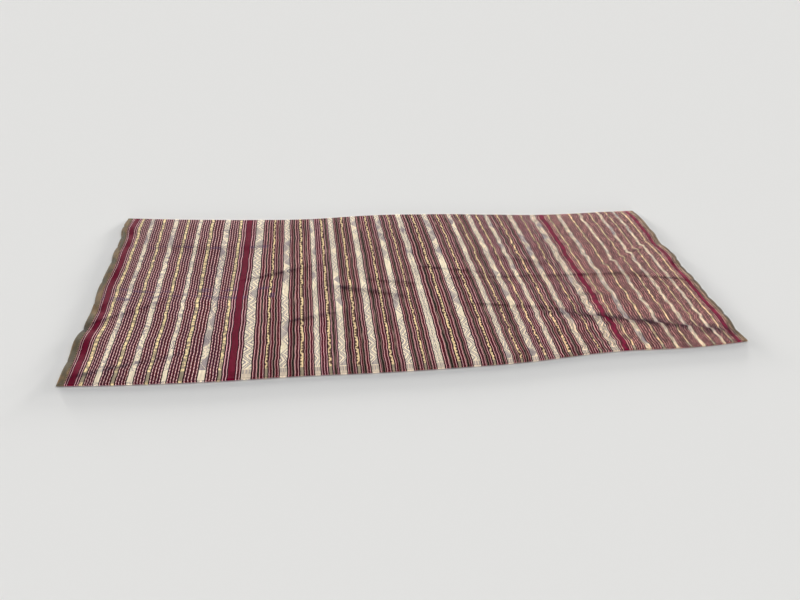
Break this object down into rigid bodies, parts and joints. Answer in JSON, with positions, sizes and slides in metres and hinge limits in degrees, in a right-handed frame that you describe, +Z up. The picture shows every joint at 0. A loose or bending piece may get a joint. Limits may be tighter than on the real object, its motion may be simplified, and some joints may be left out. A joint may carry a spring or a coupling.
{
  "type": "sarong",
  "caption": "Striped hand-woven tube skirt lying flat, its upper layer softly creased, with a plain strip sewn round each open end.",
  "frame": {"origin": "under the middle of the skirt's box, on the surface that it lies on", "axes": "+X along the skirt from its left mouth to its right mouth, +Y from the near fold to the far fold, +Z up"},
  "size_m": [1.2542, 0.577, 0.0062],
  "materials": {
    "striped_weave": "warp-faced cotton weave, matt, narrow stripes across the skirt",
    "edge_strip": "plain cotton weave, matt, faded olive brown"
  },
  "bodies": {
    "root": {"woven_tube": "striped_weave", "left_edge_binding": "edge_strip", "right_edge_binding": "edge_strip"}
  },
  "joints": []
}
